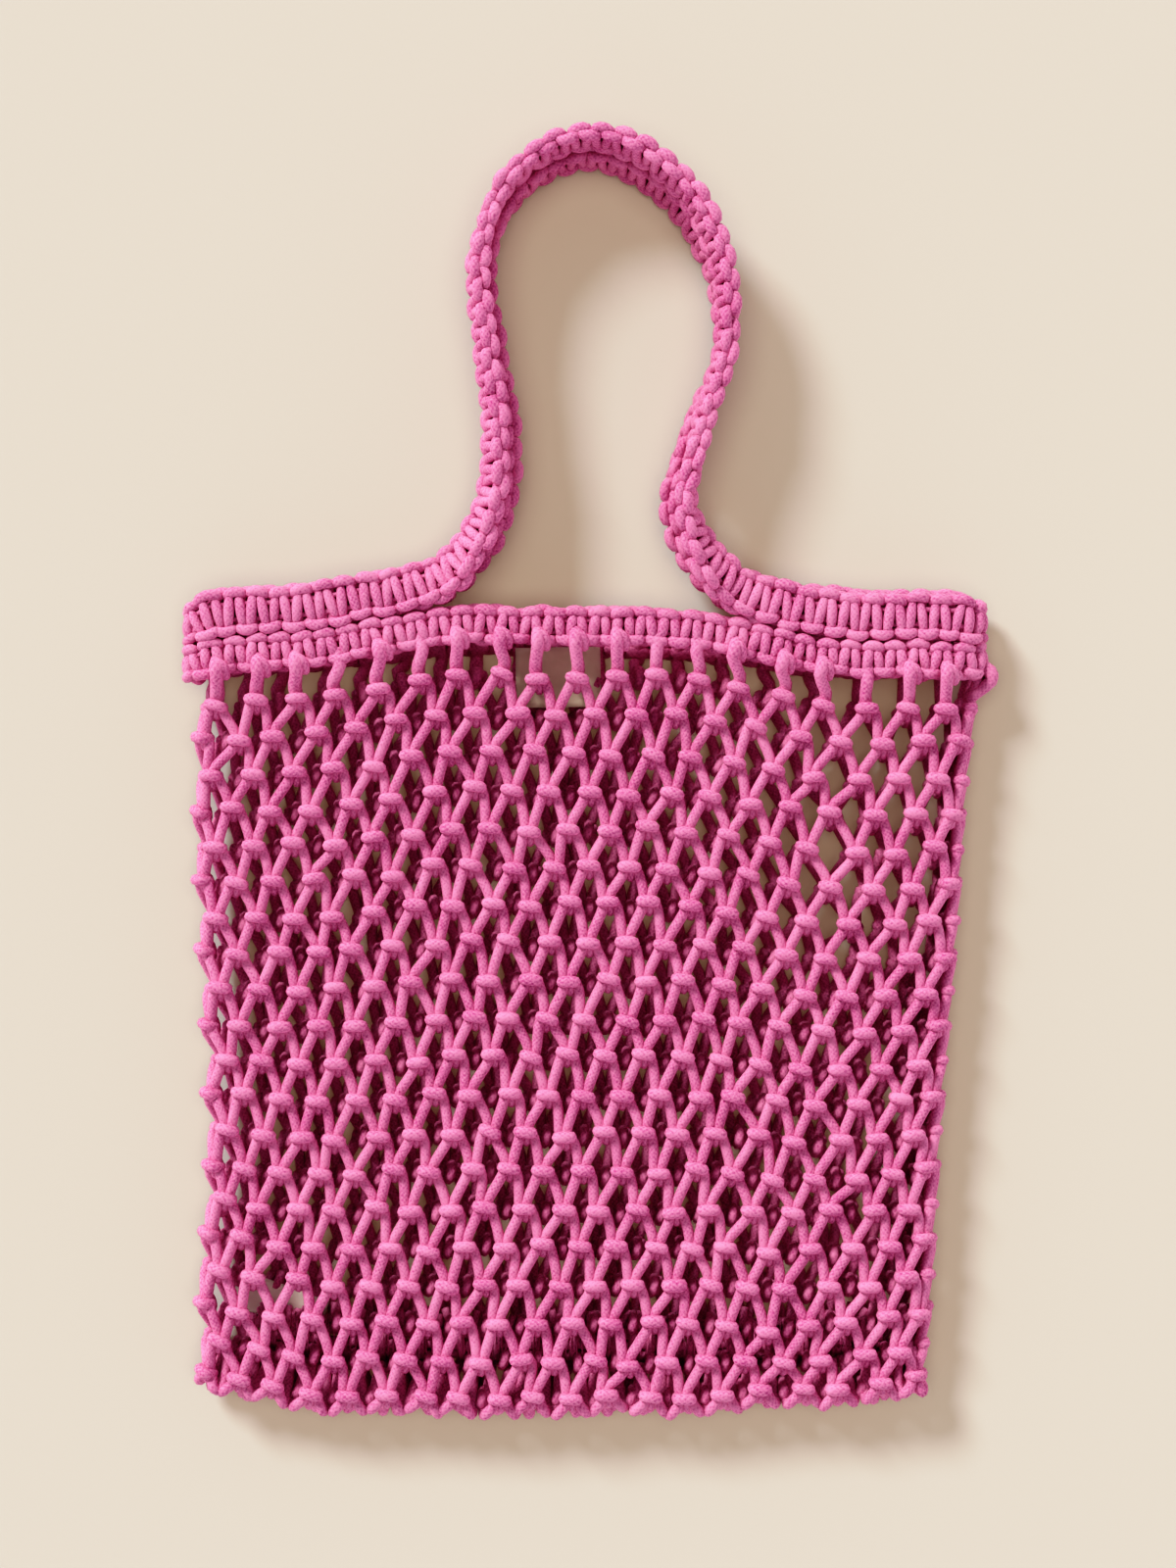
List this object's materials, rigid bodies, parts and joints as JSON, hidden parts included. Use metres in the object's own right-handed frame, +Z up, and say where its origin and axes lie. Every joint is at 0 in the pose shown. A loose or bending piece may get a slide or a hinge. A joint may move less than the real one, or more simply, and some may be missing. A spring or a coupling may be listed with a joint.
{
  "type": "macrame tote bag",
  "caption": "Open macrame net tote bag of thick knotted cotton cord, lying flat, with a woven rim band and an endless woven strap that rises as the shoulder handles.",
  "frame": {"origin": "centre of the bounding box in plan, on the surface that the bag lies on", "axes": "+X to the bag's right as seen from its front, +Y from the bottom fold to the handles, +Z up from the surface through the back to the front"},
  "size_m": [0.3616, 0.5746, 0.045],
  "materials": {
    "cord": "matte braided cotton cord, orchid pink",
    "label_tan": "flat woven tape, tan, bare",
    "label_cream": "smooth satin tape, cream, bare"
  },
  "bodies": {
    "root": {"net_front": "cord", "net_back": "cord", "rim_band": "cord", "handle_strap": "cord", "bottom_seam": "cord", "woven_label": "label_tan", "care_label": "label_cream"}
  },
  "joints": []
}
